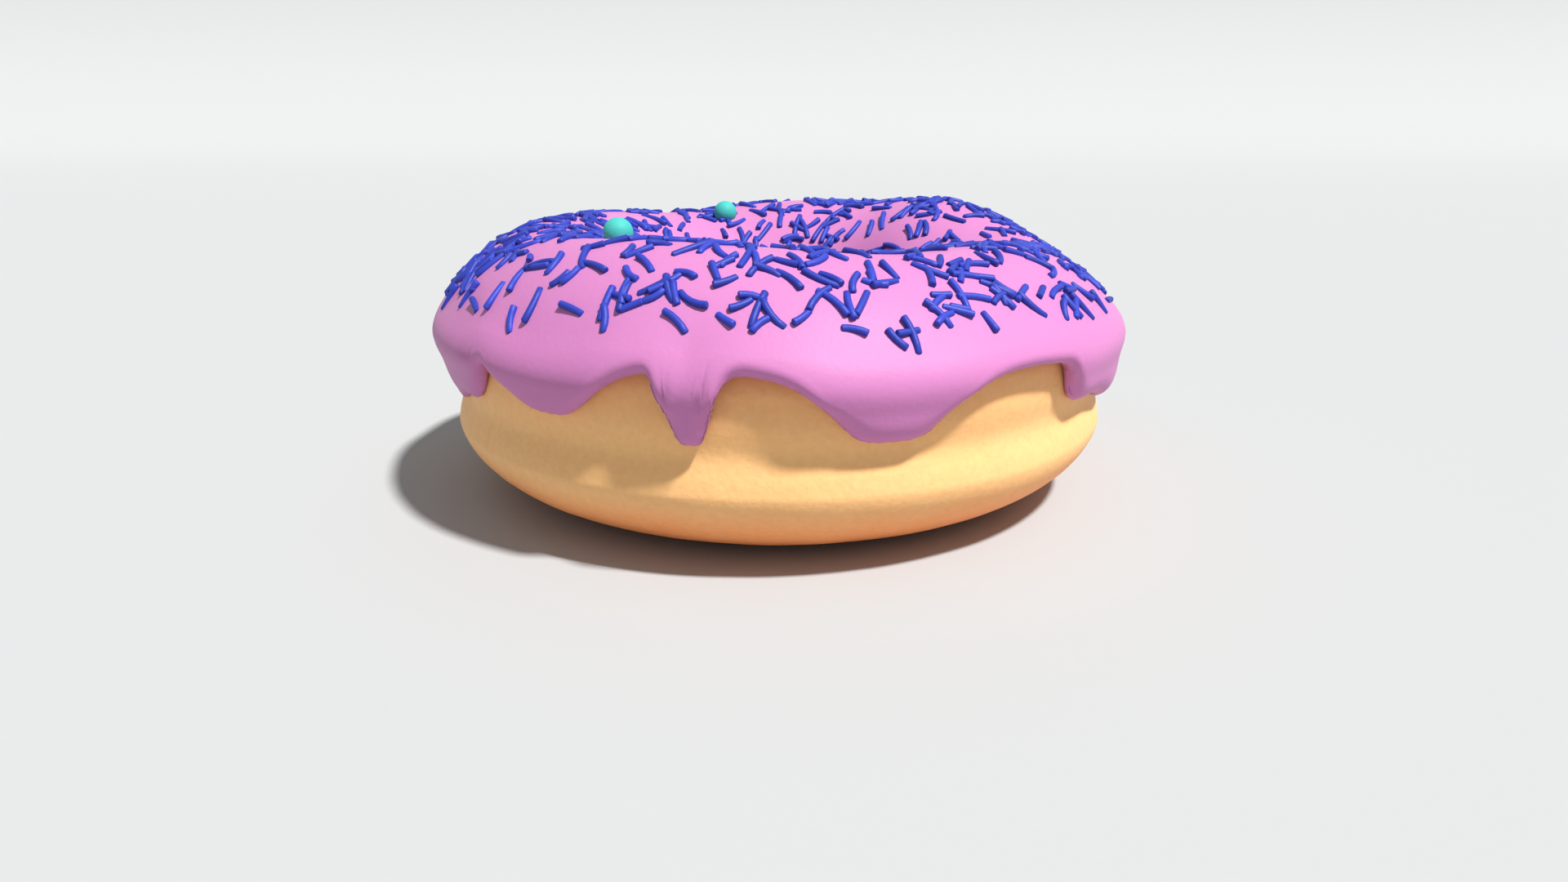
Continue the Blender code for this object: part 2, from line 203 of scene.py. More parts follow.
def outer_way(height):
    """Way along the outline to a height on the outside."""
    return np.interp(height, OUTLINE[OUTSIDE, 1], OUTLINE_WAY[OUTSIDE])


def hole_way(height):
    """Way along the outline to a height in the hole."""
    return np.interp(-height, -OUTLINE[HOLE, 1], OUTLINE_WAY[HOLE])


def funnel_way(radius):
    """Way along the outline to a radius between the crest and the narrowest of the hole."""
    return np.interp(-radius, -OUTLINE[FUNNEL, 0], OUTLINE_WAY[FUNNEL])


def turn_between(azimuth, other):
    """Signed angle from one azimuth to another, at most half a turn."""
    return np.mod(azimuth - other + 180, 360) - 180


def lift(azimuth, z):
    """How far the lumps raise a point, from none at the flank to all at the crest."""
    height = LUMPS_FROM
    for centre, rise, half_width in LUMPS:
        height = height + rise * np.exp(-((turn_between(azimuth, centre) / half_width) ** 2))
    share = np.clip((z - LIFT_STARTS_AT) / (LIFT_FULL_AT - LIFT_STARTS_AT), 0, 1)
    return height * share * share * (3 - 2 * share)


def place(azimuth, way, height):
    """Point at an azimuth, a way along the dough's outline and a height over the dough."""
    r, z = on_outline(way)
    r_before, z_before = on_outline(way - NORMAL_STEP)
    r_after, z_after = on_outline(way + NORMAL_STEP)
    along = np.hypot(r_after - r_before, z_after - z_before)
    r = r + height * (z_after - z_before) / along
    z = z - height * (r_after - r_before) / along
    z = z + lift(azimuth, z)
    turn = np.radians(azimuth)
    return np.stack(np.broadcast_arrays(r * np.cos(turn), r * np.sin(turn), z), axis=-1)


def ring(name, azimuths, ways, heights):
    """A closed ring of quads through the places given, its faces pointing out."""
    points = place(azimuths[:, None], ways, heights)
    columns, stations = points.shape[:2]
    index = np.arange(columns * stations).reshape(columns, stations)
    after = np.roll(index, -1, axis=0)
    up = np.roll(index, -1, axis=1)
    after_up = np.roll(after, -1, axis=1)
    faces = np.stack([index, after, after_up, up], axis=-1).reshape(-1, 4)
    mesh = bpy.data.meshes.new(name)
    mesh.from_pydata(points.reshape(-1, 3), [], faces)
    mesh.shade_smooth()
    piece = bpy.data.objects.new(name, mesh)
    scene.collection.objects.link(piece)
    return piece


def new_tree(name, inputs):
    """An empty Geometry Nodes tree with named inputs, and its two group nodes."""
    tree = bpy.data.node_groups.new(name, "GeometryNodeTree")
    tree.interface.new_socket("Geometry", in_out="INPUT", socket_type="NodeSocketGeometry")
    for label, kind in inputs:
        tree.interface.new_socket(label, in_out="INPUT", socket_type=f"NodeSocket{kind}")
    tree.interface.new_socket("Geometry", in_out="OUTPUT", socket_type="NodeSocketGeometry")
    return tree, tree.nodes.new("NodeGroupInput"), tree.nodes.new("NodeGroupOutput")


def math_node(tree, operation, *values):
    """The output of a maths node, each of whose values is a number or another output."""
    node = tree.nodes.new("ShaderNodeMath")
    node.operation = operation
    for socket, value in zip(node.inputs, values):
        if isinstance(value, bpy.types.NodeSocket):
            tree.links.new(value, socket)
        else:
            socket.default_value = value
    return node.outputs[0]


def finish_tree(tree, geometry, material, output):
    """Realize the instances, set the material and join the result to the tree's output."""
    realized = tree.nodes.new("GeometryNodeRealizeInstances")
    coated = tree.nodes.new("GeometryNodeSetMaterial")
    tree.links.new(geometry, realized.inputs["Geometry"])
    tree.links.new(realized.outputs["Geometry"], coated.inputs["Geometry"])
    tree.links.new(material, coated.inputs["Material"])
    tree.links.new(coated.outputs["Geometry"], output.inputs["Geometry"])


def relief_tree():
    """Moves a surface along its normals by two noises, and not at all where it stands."""
    tree, given, output = new_tree(
        "surface_relief",
        [
            ("Swell Depth", "Float"),
            ("Swell Size", "Float"),
            ("Pit Depth", "Float"),
            ("Pit Size", "Float"),
            ("Flat Below", "Float"),
            ("Material", "Material"),
        ],
    )
    position = tree.nodes.new("GeometryNodeInputPosition").outputs[0]
    normal = tree.nodes.new("GeometryNodeInputNormal").outputs[0]
    heights = []
    for depth, size, detail in (("Swell Depth", "Swell Size", 2), ("Pit Depth", "Pit Size", 3)):
        noise = tree.nodes.new("ShaderNodeTexNoise")
        noise.inputs["Detail"].default_value = detail
        tree.links.new(position, noise.inputs["Vector"])
        tree.links.new(math_node(tree, "DIVIDE", 1, given.outputs[size]), noise.inputs["Scale"])
        centred = math_node(tree, "SUBTRACT", noise.outputs[0], 0.5)
        heights.append(math_node(tree, "MULTIPLY", centred, given.outputs[depth]))
    split = tree.nodes.new("ShaderNodeSeparateXYZ")
    tree.links.new(position, split.inputs[0])
    fade = tree.nodes.new("ShaderNodeMapRange")
    fade.interpolation_type = "SMOOTHSTEP"
    tree.links.new(split.outputs["Z"], fade.inputs["Value"])
    tree.links.new(given.outputs["Flat Below"], fade.inputs["From Max"])
    height = math_node(tree, "MULTIPLY", math_node(tree, "ADD", *heights), fade.outputs[0])
    along = tree.nodes.new("ShaderNodeVectorMath")
    along.operation = "SCALE"
    tree.links.new(normal, along.inputs[0])
    tree.links.new(height, along.inputs["Scale"])
    moved = tree.nodes.new("GeometryNodeSetPosition")
    tree.links.new(given.outputs["Geometry"], moved.inputs["Geometry"])
    tree.links.new(along.outputs[0], moved.inputs["Offset"])
    finish_tree(tree, moved.outputs[0], given.outputs["Material"], output)
    return tree


def shape_with(piece, tree, values):
    """Run a tree on a piece, and keep the result as its plain mesh."""
    modifier = piece.modifiers.new(tree.name, "NODES")
    modifier.node_group = tree
    for socket in tree.interface.items_tree:
        if socket.in_out == "INPUT" and socket.name in values:
            modifier[socket.identifier] = values[socket.name]
    scene_state = bpy.context.evaluated_depsgraph_get()
    shaped = bpy.data.meshes.new_from_object(piece.evaluated_get(scene_state))
    piece.modifiers.clear()
    piece.data = shaped
    piece.data.name = piece.name


def new_material(name, roughness, sheen):
    """A material, its shader, and its texture coordinates on the object."""
    material = bpy.data.materials.new(name)
    material.use_nodes = True
    shader = material.node_tree.nodes["Principled BSDF"]
    shader.inputs["Roughness"].default_value = roughness
    shader.inputs["Specular IOR Level"].default_value = sheen
    spot = material.node_tree.nodes.new("ShaderNodeTexCoord").outputs["Object"]
    return material, shader, spot


def glow(shader, weight, spread, depth):
    """Light that goes into a surface and comes out again beside it."""
    shader.inputs["Subsurface Weight"].default_value = weight
    shader.inputs["Subsurface Radius"].default_value = spread
    shader.inputs["Subsurface Scale"].default_value = depth


def noise_node(tree, spot, size, detail=3.0):
    """A noise from 0 to 1 with features of a size in metres."""
    noise = tree.nodes.new("ShaderNodeTexNoise")
    noise.inputs["Scale"].default_value = 1 / size
    noise.inputs["Detail"].default_value = detail
    tree.links.new(spot, noise.inputs["Vector"])
    return noise.outputs[0]


def ramp_node(tree, value, stops):
    """A colour ramp through stops of a position from 0 to 1 and a colour."""
    ramp = tree.nodes.new("ShaderNodeValToRGB")
    elements = ramp.color_ramp.elements
    for number, (position, colour) in enumerate(stops):
        element = elements[number] if number < 2 else elements.new(position)
        element.position = position
        element.color = (*colour, 1)
    tree.links.new(value, ramp.inputs[0])
    return ramp.outputs["Color"]


def mix_node(tree, share, first, second, blend="MIX"):
    """One colour blended with another by a share."""
    mix = tree.nodes.new("ShaderNodeMix")
    mix.data_type = "RGBA"
    mix.blend_type = blend
    sockets = (mix.inputs[0], mix.inputs[6], mix.inputs[7])
    for socket, value in zip(sockets, (share, first, second)):
        if isinstance(value, bpy.types.NodeSocket):
            tree.links.new(value, socket)
        elif isinstance(value, tuple):
            socket.default_value = (*value, 1)
        else:
            socket.default_value = value
    return mix.outputs[2]


def bump_node(tree, shader, height, depth):
    """Fine relief of a depth in metres on a shader."""
    bump = tree.nodes.new("ShaderNodeBump")
    bump.inputs["Distance"].default_value = depth
    tree.links.new(height, bump.inputs["Height"])
    tree.links.new(bump.outputs[0], shader.inputs["Normal"])


def fried_dough():
    """Matt fried dough: golden by its height, mottled, with fine dry pores."""
    material, shader, spot = new_material("fried_dough", DOUGH_ROUGHNESS, DOUGH_SHEEN)
    tree = material.node_tree
    split = tree.nodes.new("ShaderNodeSeparateXYZ")
    tree.links.new(spot, split.inputs[0])
    top = DOUGH_COLOURS[-1][0]
    wander = math_node(tree, "SUBTRACT", noise_node(tree, spot, BROWNING_SIZE), 0.5)
    height = math_node(tree, "MULTIPLY_ADD", wander, BROWNING_WANDER, split.outputs["Z"])
    share = math_node(tree, "DIVIDE", height, top)
    golden = ramp_node(tree, share, [(z / top, colour) for z, colour in DOUGH_COLOURS])
    mottle = ramp_node(tree, noise_node(tree, spot, MOTTLE_SIZE, 4.0), MOTTLE)
    crust = mix_node(tree, 1.0, golden, mottle, "MULTIPLY")
    tree.links.new(crust, shader.inputs["Base Color"])
    glow(shader, DOUGH_GLOW, DOUGH_GLOW_SPREAD, DOUGH_GLOW_DEPTH)
    bump_node(tree, shader, noise_node(tree, spot, PORE_SIZE, 4.0), PORE_DEPTH)
    return material


def dough_ways():
    """Stations round the section, fine where the dough is bare and wide under the icing."""
    ends = (0.0, outer_way(DOUGH_BARE_TO), hole_way(DOUGH_BARE_IN_HOLE), OUTLINE_LENGTH)
    stretches = [
        np.linspace(start, stop, count, endpoint=False)
        for start, stop, count in zip(ends, ends[1:], DOUGH_STATIONS)
    ]
    return np.concatenate(stretches)


stations = dough_ways()
azimuths = np.linspace(-180, 180, DOUGH_COLUMNS, endpoint=False)
dough = ring("fried_ring", azimuths, np.tile(stations, (DOUGH_COLUMNS, 1)), 0.0)
relief = relief_tree()
shape_with(
    dough,
    relief,
    {
        "Swell Depth": 0.0003,
        "Swell Size": 0.011,
        "Pit Depth": 0.00005,
        "Pit Size": 0.0016,
        "Flat Below": 0.003,
        "Material": fried_dough(),
    },
)
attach(dough, "root")
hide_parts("dough")


# Icing: pink sugar glaze, poured over the crest while it was warm. It ran down the outside
# and into the hole in drips, and set as a skin about two millimetres thick with round edges.
ICING_THICKNESS = 0.0021

# How the skin thins down the flank and leans to +X, and how it swells at the shoulder and in
# a bead along the arches
FLANK_THINNING = 0.0007
FLANK_LEAN = 0.0006
FLANK_TOP = 0.0222
FLANK_FOOT = 0.0162
FLANK_SWELL = 0.0006
FLANK_SWELL_REACH = 0.0018
ARCH_BEAD = 0.0005
ARCH_BEAD_REACH = 0.0034
ARCH_BEAD_FROM = 0.0215
ARCH_BEAD_FULL_AT = 0.0240

# How far the skin's bed lies under the dough's surface and its top is lifted, and the line
# of arches that the drips hang from
ICING_BED = -0.0004
ICING_LIFT = 0.0003
ARCH_HEIGHT = 0.0229
ARCH_SWAY = 0.0011
ARCH_HIGHEST_AT = -150
HOLE_ARCH_HEIGHT = 0.0172
DRIP_BLEND = 4
DRIP_LINE_POINTS = 1440

# Drips on the outside, then in the hole: azimuth, height of the tip, half width, squareness
OUTER_DRIPS = (
    (-160, 0.0157, 11.3, 1.9),
    (-153.5, 0.0167, 14.3, 3.6),
    (-124.6, 0.0181, 8.9, 1.7),
    (-101.8, 0.0164, 3.0, 2.0),
    (-74.5, 0.0167, 8.6, 1.95),
    (-24, 0.0171, 18.0, 9.0),
    (-19, 0.0153, 12.0, 1.9),
    (10, 0.0186, 6.0, 2.0),
    (29, 0.0168, 3.2, 2.0),
    (52, 0.0178, 9.0, 2.0),
    (79, 0.0188, 5.5, 2.0),
    (103, 0.0172, 10.0, 2.2),
    (127, 0.0168, 3.2, 2.0),
    (150, 0.0183, 7.5, 2.0),
    (173, 0.0178, 6.5, 2.2),
)
HOLE_DRIPS = (
    (-150, 0.0140, 20, 2.0),
    (-85, 0.0129, 14, 2.0),
    (-36, 0.0140, 17, 2.0),
    (17, 0.0126, 12, 2.0),
    (75, 0.0137, 22, 2.0),
    (140, 0.0130, 15, 2.0),
)

# Round edge: how much of the thickness hangs under its foremost line, and how far in the top
# rolls off, at the drips' tips below one height and along the arches above another
TIP_BELOW = 0.0185
TIP_NOSE = 0.24
TIP_ROUND = 0.0028
ARCH_ABOVE = 0.0215
ARCH_NOSE = 0.60
ARCH_ROUND = 0.0007

# Columns, crowded at the drips, and stations from the edge inwards
ICING_COLUMNS = 700
ICING_COLUMN_CROWDING = 1.4
ICING_NOSE_STEPS = (0.0, 0.015, 0.06, 0.13, 0.23, 0.36, 0.52, 0.72, 1.02)
ICING_NOSE_STRETCH = 3.0
ICING_SLOPE_SPAN = 1.0
ICING_FLANK_STATIONS = 22
ICING_TOP_STATIONS = 44
ICING_TOP_MARGIN = 0.0006
ICING_BED_STATIONS = 14

# Sugar: its two pinks, roughness and sheen, the glow in it, and the sizes of what varies it
ICING_PINK = (0.520, 0.180, 0.405)
ICING_PALE_PINK = (0.545, 0.195, 0.428)
ICING_PATCH_SIZE = 0.009
ICING_ROUGHNESS = 0.5
ICING_SHEEN = 0.18
ICING_GLOW = 0.05
ICING_GLOW_SPREAD = (1.0, 0.5, 0.8)
ICING_GLOW_DEPTH = 0.0010
ICING_GRAIN_SIZE = 0.0006
ICING_GRAIN_DEPTH = 0.00003


def drip_line(azimuth, arch, drips):
    """Height of the icing's edge: drips that hang from a line of arches."""
    depth = 0.0
    for centre, tip, half_width, squareness in drips:
        off = np.abs(turn_between(azimuth, centre)) / half_width
        depth = depth + ((arch - tip) / (1 + off ** (2 * squareness))) ** DRIP_BLEND
    return arch - depth ** (1 / DRIP_BLEND)


def outer_edge(azimuth):
    """Way along the outline to the icing's edge on the outside."""
    sway = ARCH_SWAY * np.cos(np.radians(azimuth - ARCH_HIGHEST_AT))
    return outer_way(drip_line(azimuth, ARCH_HEIGHT + sway, OUTER_DRIPS))


def hole_edge(azimuth):
    """Way along the outline to the icing's edge in the hole."""
    return hole_way(drip_line(azimuth, HOLE_ARCH_HEIGHT, HOLE_DRIPS))


def icing_faces(azimuth, ways):
    """Heights of the icing's top and underside along one azimuth, round at its edges."""
    line = np.linspace(-180, 180, DRIP_LINE_POINTS, endpoint=False)
    r, z = on_outline(ways)
    aside = np.radians(turn_between(azimuth, line)) * r[:, None]
    nearest = np.full(ways.shape, np.inf)
    for edge in (outer_edge(line), hole_edge(line)):
        off = np.hypot(aside, ways[:, None] - edge)
        nearest = np.minimum(nearest, off.min(axis=-1))
    down = np.clip((FLANK_TOP - z) / (FLANK_TOP - FLANK_FOOT), 0, 1)
    leaning = FLANK_LEAN * np.cos(np.radians(azimuth)) - FLANK_THINNING
    swell = FLANK_SWELL * np.exp(-(((z - FLANK_TOP) / FLANK_SWELL_REACH) ** 2))
    arch = np.clip((z - ARCH_BEAD_FROM) / (ARCH_BEAD_FULL_AT - ARCH_BEAD_FROM), 0, 1)
    bead = ARCH_BEAD * arch * np.exp(-((nearest / ARCH_BEAD_REACH) ** 2))
    outside = ways < OUTLINE_WAY[CREST]
    thickness = ICING_LIFT + ICING_THICKNESS + outside * (down * leaning + swell + bead)
    share = np.clip((z - TIP_BELOW) / (ARCH_ABOVE - TIP_BELOW), 0, 1)
    high = np.where(outside, share, 1)
    nose = (TIP_NOSE + (ARCH_NOSE - TIP_NOSE) * high) * thickness
    reach = TIP_ROUND + (ARCH_ROUND - TIP_ROUND) * high
    short = 1 - np.clip(nearest / reach, 0, 1)
    top = nose + (thickness - nose) * np.sqrt(1 - short * short)
    short = 1 - np.clip(nearest / nose, 0, 1)
    return top, nose * (1 - np.sqrt(1 - short * short))


def icing_azimuths():
    """Azimuths at even steps along the drip line, so that they crowd at the drips."""
    line = np.linspace(-180, 180, DRIP_LINE_POINTS + 1)
    step_down = np.diff(outer_edge(line)) * ICING_COLUMN_CROWDING
    step_round = np.radians(np.diff(line)) * SHOULDER_RADIUS
    way = np.concatenate([[0.0], np.cumsum(np.hypot(step_down, step_round))])
    return np.interp(np.linspace(0, way[-1], ICING_COLUMNS, endpoint=False), way, line)


def nose_stretch(azimuths, edge):
    """How much farther up the round of the edge reaches where the edge runs steeply."""
    step_round = np.radians(ICING_SLOPE_SPAN) * SHOULDER_RADIUS
    half = ICING_SLOPE_SPAN / 2
    slope = (edge(azimuths + half) - edge(azimuths - half)) / step_round
    return np.clip(np.hypot(1, slope), 1, ICING_NOSE_STRETCH)[:, None]


def icing_ring():
    """The icing's skin from edge to edge, closed by a bed just under the dough's surface."""
    azimuths = icing_azimuths()
    outer = outer_edge(azimuths)[:, None]
    hole = hole_edge(azimuths)[:, None]
    nose = np.array(ICING_NOSE_STEPS) * (ICING_LIFT + ICING_THICKNESS) / 2
    outer_nose = outer + nose * nose_stretch(azimuths, outer_edge)
    hole_nose = hole - nose * nose_stretch(azimuths, hole_edge)
    margin = nose[-1] * ICING_NOSE_STRETCH + ICING_TOP_MARGIN
    top_start = outer_way(ARCH_HEIGHT + ARCH_SWAY) + margin
    top_stop = hole_way(HOLE_ARCH_HEIGHT) - margin
    top = np.linspace(top_start, top_stop, ICING_TOP_STATIONS)
    top = np.broadcast_to(top, (ICING_COLUMNS, ICING_TOP_STATIONS))
    share = np.linspace(0, 1, ICING_FLANK_STATIONS + 1, endpoint=False)[1:]
    flank = outer_nose[:, -1:] + (top_start - outer_nose[:, -1:]) * share
    inner_flank = top_stop + (hole_nose[:, -1:] - top_stop) * share
    over = np.concatenate([outer_nose, flank, top, inner_flank, hole_nose[:, ::-1]], axis=1)
    under = np.concatenate([hole_nose[:, 1:], outer_nose[:, :0:-1]], axis=1)
    tops = np.stack([icing_faces(*column)[0] for column in zip(azimuths, over)])
    undersides = np.stack([icing_faces(*column)[1] for column in zip(azimuths, under)])
    share = np.linspace(1, 0, ICING_BED_STATIONS)
    start = outer_nose[:, -1:]
    bed = start + (hole_nose[:, -1:] - start) * share
    steps = len(ICING_NOSE_STEPS) - 1
    ways = np.concatenate([over, under[:, :steps], bed, under[:, steps:]], axis=1)
    beds = np.full(bed.shape, ICING_BED)
    heights = np.concatenate(
        [tops, undersides[:, :steps], beds, undersides[:, steps:]], axis=1
    )
    return ring("poured_icing", azimuths, ways, heights)


def set_icing():
    """Smooth set sugar with a soft gloss, a little deeper pink in places."""
    material, shader, spot = new_material("pink_icing", ICING_ROUGHNESS, ICING_SHEEN)
    tree = material.node_tree
    patches = noise_node(tree, spot, ICING_PATCH_SIZE)
    pink = mix_node(tree, patches, ICING_PINK, ICING_PALE_PINK)
    tree.links.new(pink, shader.inputs["Base Color"])
    glow(shader, ICING_GLOW, ICING_GLOW_SPREAD, ICING_GLOW_DEPTH)
    bump_node(tree, shader, noise_node(tree, spot, ICING_GRAIN_SIZE), ICING_GRAIN_DEPTH)
    return material


icing = icing_ring()
shape_with(
    icing,
    relief,
    {
        "Swell Depth": 0.0004,
        "Swell Size": 0.010,
        "Pit Depth": 0.00004,
        "Pit Size": 0.0015,
        "Flat Below": 0.0,
        "Material": set_icing(),
    },
)
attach(icing, "root")
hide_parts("icing")


# Sprinkles: short rods of blue sugar paste, cut from thin strings and most of them bent. They
# were thrown on from above before the icing set, so they lie partly sunk, at all angles.
SPRINKLE_RADIUS = 0.00042
SPRINKLE_SHORTEST = 0.0021
SPRINKLE_LONGEST = 0.0042
SPRINKLE_BEND = 0.45
SPRINKLE_TILT = 0.00028
SPRINKLE_RISE = 0.00012
SPRINKLES_STREWN = 880
SPRINKLE_SEED = 164
STREWN_FROM_HEIGHT = 0.0247
STREWN_FRINGE = 0.0030
STREWN_TO_RADIUS = 0.0172

# Rods: sides, how their ends are rounded, and the angle from which an edge is sharp
SPRINKLE_SIDES = 10
SPRINKLE_RIM = 0.22
SPRINKLE_RIM_GIRTH = 0.74
SPRINKLE_SHARP = math.radians(44)

SPRINKLE_BLUE = (0.031, 0.050, 0.43)
SPRINKLE_DEEP_BLUE = (0.021, 0.036, 0.32)
SPRINKLE_GRAIN = ((0.3, (0.88, 0.88, 0.92)), (0.7, (1.0, 1.0, 1.0)))
SPRINKLE_GRAIN_SIZE = 0.0003
SPRINKLE_ROUGHNESS = 0.5
SPRINKLE_SHEEN = 0.3
SPRINKLE_BUMP_SIZE = 0.0002
SPRINKLE_BUMP_DEPTH = 0.00002


def strewn_sprinkles():
    """Every sprinkle as (length, azimuth, way, heading, bend, tilt), the longest first."""
    chance = random.Random(SPRINKLE_SEED)
    start = outer_way(STREWN_FROM_HEIGHT)
    stop = funnel_way(STREWN_TO_RADIUS)
    sprinkles = []
    while len(sprinkles) < SPRINKLES_STREWN:
        azimuth = chance.uniform(-180, 180)
        way = chance.uniform(start, stop)
        r, _ = on_outline(way)
        if chance.random() * SHOULDER_RADIUS > r:
            continue
        if chance.random() * STREWN_FRINGE > way - start:
            continue
        length = chance.uniform(SPRINKLE_SHORTEST, SPRINKLE_LONGEST)
        heading = chance.uniform(0, 2 * math.pi)
        bend = chance.uniform(-SPRINKLE_BEND, SPRINKLE_BEND)
        tilt = chance.uniform(-SPRINKLE_TILT, SPRINKLE_TILT)
        sprinkles.append((length, azimuth, way, heading, bend, tilt))
    return sorted(sprinkles, reverse=True)


def sprinkle_path(sprinkle, surface):
    """Points and girths along a sprinkle that lies on the icing."""
    length, azimuth, way, heading, bend, tilt = sprinkle
    r, _ = on_outline(way)
    rim = 1 - 2 * SPRINKLE_RIM * SPRINKLE_RADIUS / length
    shares = (-1, -rim, -0.5, 0, 0.5, rim, 1)
    points = []
    for share in shares:
        along = share * length / 2
        aside = bend * along * share / 2
        east = along * math.cos(heading) - aside * math.sin(heading)
        inward = along * math.sin(heading) + aside * math.cos(heading)
        turned = azimuth + math.degrees(east / r)
        over = Vector(place(turned, way + inward, ICING_LIFT + ICING_THICKNESS))
        spot, normal, _, _ = surface.find_nearest(over)
        points.append(spot + normal * (SPRINKLE_RISE + share * tilt))
    girths = [SPRINKLE_RADIUS * (SPRINKLE_RIM_GIRTH if abs(share) == 1 else 1) for share in shares]
    return points, girths


def rods_tree():
    """Sweeps a round section along each path of points, and closes its ends."""
    tree, given, output = new_tree("sugar_rods", [("Sides", "Int"), ("Material", "Material")])
    named = {}
    for label, kind in (("sprinkle", "INT"), ("girth", "FLOAT")):
        node = tree.nodes.new("GeometryNodeInputNamedAttribute")
        node.data_type = kind
        node.inputs["Name"].default_value = label
        named[label] = node.outputs["Attribute"]
    dots = tree.nodes.new("GeometryNodeMeshToPoints")
    paths = tree.nodes.new("GeometryNodePointsToCurves")
    section = tree.nodes.new("GeometryNodeCurvePrimitiveCircle")
    section.inputs["Radius"].default_value = 1.0
    swept = tree.nodes.new("GeometryNodeCurveToMesh")
    swept.inputs["Fill Caps"].default_value = True
    tree.links.new(given.outputs["Geometry"], dots.inputs["Mesh"])
    tree.links.new(dots.outputs["Points"], paths.inputs["Points"])
    tree.links.new(named["sprinkle"], paths.inputs["Curve Group ID"])
    tree.links.new(given.outputs["Sides"], section.inputs["Resolution"])
    tree.links.new(paths.outputs[0], swept.inputs["Curve"])
    tree.links.new(named["girth"], swept.inputs["Scale"])
    tree.links.new(section.outputs[0], swept.inputs["Profile Curve"])
    finish_tree(tree, swept.outputs[0], given.outputs["Material"], output)
    return tree


def sprinkle_points(surface):
    """The paths of all sprinkles as loose points, with each one's number, girth and shade."""
    chance = random.Random(SPRINKLE_SEED + 1)
    points, numbers, girths, shades = [], [], [], []
    for number, sprinkle in enumerate(strewn_sprinkles()):
        path, thick = sprinkle_path(sprinkle, surface)
        shade = chance.random()
        points.extend(path)
        girths.extend(thick)
        numbers.extend([number] * len(path))
        shades.extend([shade] * len(path))
    mesh = bpy.data.meshes.new("sugar_sprinkles")
    mesh.from_pydata(points, [], [])
    for label, kind, values in (
        ("sprinkle", "INT", numbers),
        ("girth", "FLOAT", girths),
        ("shade", "FLOAT", shades),
    ):
        mesh.attributes.new(label, kind, "POINT").data.foreach_set("value", values)
    piece = bpy.data.objects.new("sugar_sprinkles", mesh)
    scene.collection.objects.link(piece)
    return piece


def blue_sugar():
    """Matt blue sugar paste, each rod a slightly different blue."""
    material, shader, spot = new_material("blue_sugar", SPRINKLE_ROUGHNESS, SPRINKLE_SHEEN)
    tree = material.node_tree
    shade = tree.nodes.new("ShaderNodeAttribute")
    shade.attribute_name = "shade"
    blue = mix_node(tree, shade.outputs["Fac"], SPRINKLE_BLUE, SPRINKLE_DEEP_BLUE)
    grain = ramp_node(tree, noise_node(tree, spot, SPRINKLE_GRAIN_SIZE, 2.0), SPRINKLE_GRAIN)
    tree.links.new(mix_node(tree, 1.0, blue, grain, "MULTIPLY"), shader.inputs["Base Color"])
    bumps = noise_node(tree, spot, SPRINKLE_BUMP_SIZE, 2.0)
    bump_node(tree, shader, bumps, SPRINKLE_BUMP_DEPTH)
    return material


faces = bmesh.new()
faces.from_mesh(icing.data)
icing_surface = BVHTree.FromBMesh(faces)
faces.free()
sprinkles = sprinkle_points(icing_surface)
shape_with(sprinkles, rods_tree(), {"Sides": SPRINKLE_SIDES, "Material": blue_sugar()})
shells = bmesh.new()
shells.from_mesh(sprinkles.data)
bmesh.ops.recalc_face_normals(shells, faces=shells.faces)
shells.to_mesh(sprinkles.data)
shells.free()
sprinkles.data.shade_smooth()
sprinkles.data.set_sharp_from_angle(angle=SPRINKLE_SHARP)
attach(sprinkles, "root")
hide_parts("icing")


# Pearls: two balls of turquoise sugar, set by hand between the crest and the hole. Each has
# sunk into the soft icing by more than a quarter of its height, and is held by it.
PEARL_DIAMETER = 0.00365

# Azimuth, radius and how far the middle of each stands over the icing
PEARLS = ((-132.7, 0.0291, 0.0008), (109.6, 0.0273, 0.00075))
PEARL_SEGMENTS = 96
PEARL_RINGS = 48
PEARL_TURQUOISE = (0.050, 0.420, 0.370)
PEARL_PALE = (0.065, 0.470, 0.420)
PEARL_PATCH_SIZE = 0.0012
PEARL_ROUGHNESS = 0.6
PEARL_SHEEN = 0.2
PEARL_BUMP_SIZE = 0.0005
PEARL_BUMP_DEPTH = 0.00002


def turquoise_sugar():
    """Hard sugar with a soft shine and faintly uneven colour."""
    material, shader, spot = new_material("turquoise_sugar", PEARL_ROUGHNESS, PEARL_SHEEN)
    tree = material.node_tree
    patches = noise_node(tree, spot, PEARL_PATCH_SIZE)
    colour = mix_node(tree, patches, PEARL_TURQUOISE, PEARL_PALE)
    tree.links.new(colour, shader.inputs["Base Color"])
    bump_node(tree, shader, noise_node(tree, spot, PEARL_BUMP_SIZE, 2.0), PEARL_BUMP_DEPTH)
    return material


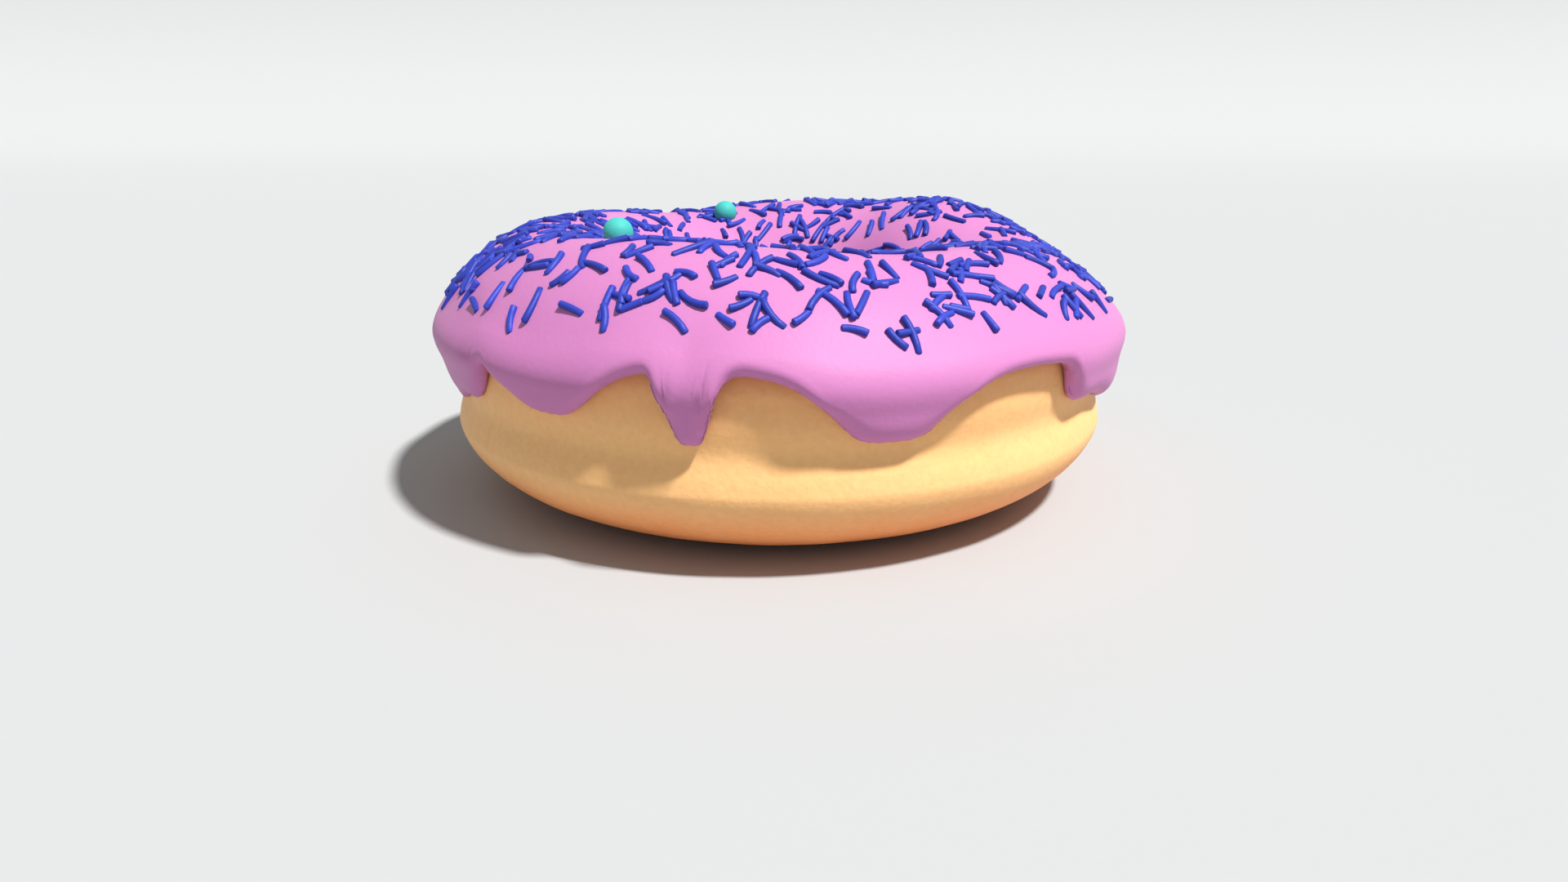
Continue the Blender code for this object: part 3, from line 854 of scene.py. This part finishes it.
pearls = bpy.data.objects.new("sugar_pearls", bpy.data.meshes.new("sugar_pearls"))
scene.collection.objects.link(pearls)
balls = bmesh.new()
for azimuth, radius, over in PEARLS:
    middle = place(azimuth, funnel_way(radius), ICING_LIFT + ICING_THICKNESS + over)
    ball = bmesh.ops.create_uvsphere(
        balls, u_segments=PEARL_SEGMENTS, v_segments=PEARL_RINGS, radius=PEARL_DIAMETER / 2
    )
    bmesh.ops.translate(balls, verts=ball["verts"], vec=Vector(middle))
balls.to_mesh(pearls.data)
balls.free()
pearls.data.shade_smooth()
shape_with(
    pearls,
    relief,
    {
        "Swell Depth": 0.00012,
        "Swell Size": 0.0016,
        "Pit Depth": 0.00003,
        "Pit Size": 0.0005,
        "Flat Below": 0.0,
        "Material": turquoise_sugar(),
    },
)
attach(pearls, "root")
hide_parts("icing")


# Floor and light: a pale matt sheet that curves up behind, a key light from the front right,
# high up, and cool grey light from all round.
FLOOR_HALF_WIDTH = 4.0
FLOOR_FRONT = -4.0
FLOOR_BACK = 0.9
COVE_RADIUS = 0.5
COVE_STEPS = 24
WALL_HEIGHT = 1.5
FLOOR_DROP = 0.00002
FLOOR_GREY = (0.44, 0.44, 0.44)
FLOOR_ROUGHNESS = 0.8
FLOOR_SHEEN = 0.1
KEY_AZIMUTH = math.radians(-37)
KEY_ELEVATION = math.radians(60)
KEY_STRENGTH = 5.45
KEY_WIDTH = math.radians(5)
SKY_GREY = (0.90, 1.0, 1.02)
SKY_STRENGTH = 0.38


def floor_profile():
    """The sheet's edge from the front, along the floor and up the wall, as (y, z)."""
    bend = [math.radians(90 * step / COVE_STEPS) for step in range(COVE_STEPS + 1)]
    cove = [
        (FLOOR_BACK + COVE_RADIUS * math.sin(a), COVE_RADIUS * (1 - math.cos(a))) for a in bend
    ]
    return [(FLOOR_FRONT, 0.0), *cove, (FLOOR_BACK + COVE_RADIUS, WALL_HEIGHT)]


profile = floor_profile()
corners = [
    (side * FLOOR_HALF_WIDTH, y, z - FLOOR_DROP) for y, z in profile for side in (-1, 1)
]
strips = [(2 * i, 2 * i + 1, 2 * i + 3, 2 * i + 2) for i in range(len(profile) - 1)]
floor_mesh = bpy.data.meshes.new("floor")
floor_mesh.from_pydata(corners, [], strips)
floor_mesh.shade_smooth()
floor = bpy.data.objects.new("floor", floor_mesh)
scene.collection.objects.link(floor)
sheet, matt, _ = new_material("floor_sheet", FLOOR_ROUGHNESS, FLOOR_SHEEN)
matt.inputs["Base Color"].default_value = (*FLOOR_GREY, 1)
floor_mesh.materials.append(sheet)

key = bpy.data.objects.new("key_light", bpy.data.lights.new("key_light", "SUN"))
toward = Vector(
    (
        math.cos(KEY_ELEVATION) * math.cos(KEY_AZIMUTH),
        math.cos(KEY_ELEVATION) * math.sin(KEY_AZIMUTH),
        math.sin(KEY_ELEVATION),
    )
)
key.rotation_euler = toward.to_track_quat("Z", "Y").to_euler()
key.data.energy = KEY_STRENGTH
key.data.angle = KEY_WIDTH
scene.collection.objects.link(key)

sky = bpy.data.worlds.new("sky")
sky.use_nodes = True
sky.node_tree.nodes["Background"].inputs["Color"].default_value = (*SKY_GREY, 1)
sky.node_tree.nodes["Background"].inputs["Strength"].default_value = SKY_STRENGTH
scene.world = sky
scene.view_settings.view_transform = "Standard"
